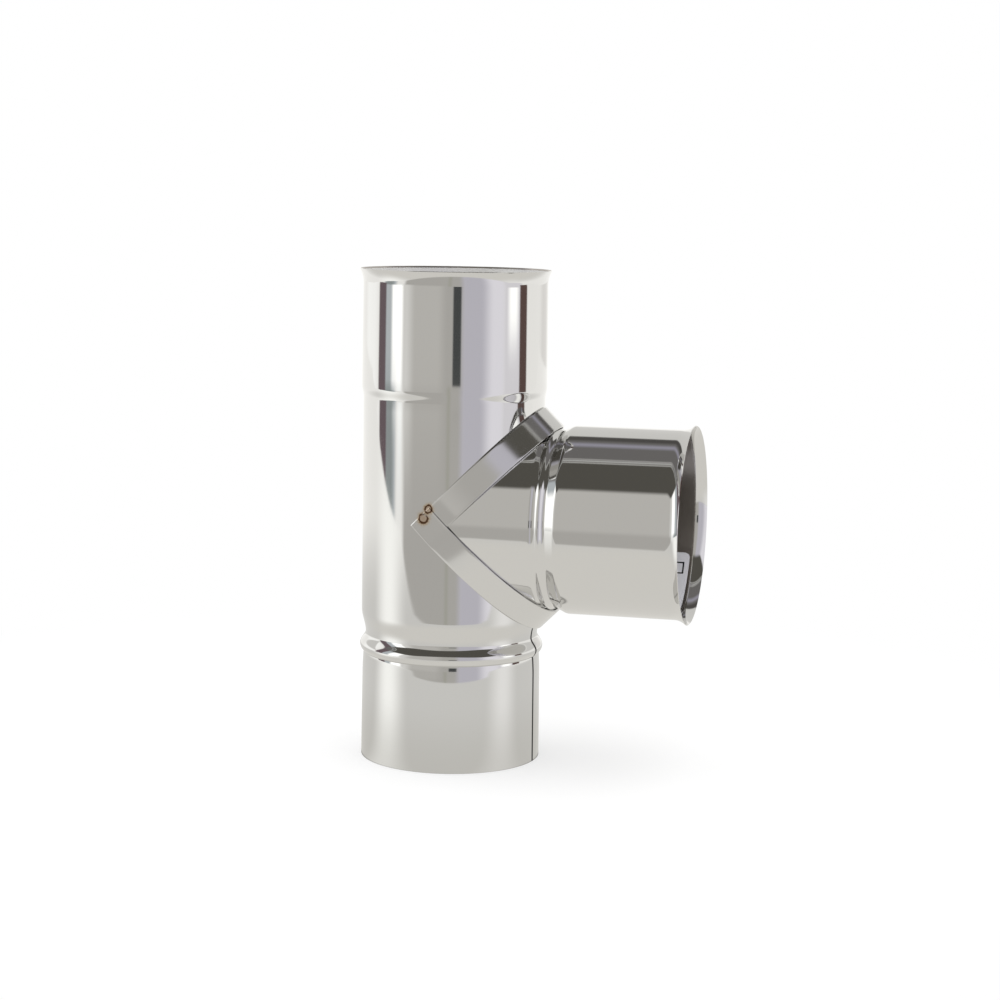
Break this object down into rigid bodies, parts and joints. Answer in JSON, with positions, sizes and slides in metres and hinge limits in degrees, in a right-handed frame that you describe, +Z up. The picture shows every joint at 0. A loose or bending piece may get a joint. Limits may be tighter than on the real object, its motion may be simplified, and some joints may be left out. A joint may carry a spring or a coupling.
{
  "type": "chimney flue pipe tee",
  "caption": "Single-wall stainless flue tee: upright tube with a beaded spigot below and a flared socket above, and a mitred side branch with its own socket, joined by clipped lock strips.",
  "frame": {"origin": "middle of the foot of the bounding box, on the plane of the spigot's open end", "axes": "+Z up along the main tube from the spigot to the socket, +X along the branch towards its mouth, +Y across the part"},
  "size_m": [0.1866, 0.1084, 0.27],
  "materials": {
    "polished_steel": "mirror-polished stainless sheet",
    "label_paper": "plain white self-adhesive paper"
  },
  "bodies": {
    "root": {"main_tube": "polished_steel", "branch_collar": "polished_steel", "upper_lock_strip": "polished_steel", "lower_lock_strip": "polished_steel", "inner_label": "label_paper"}
  },
  "joints": []
}
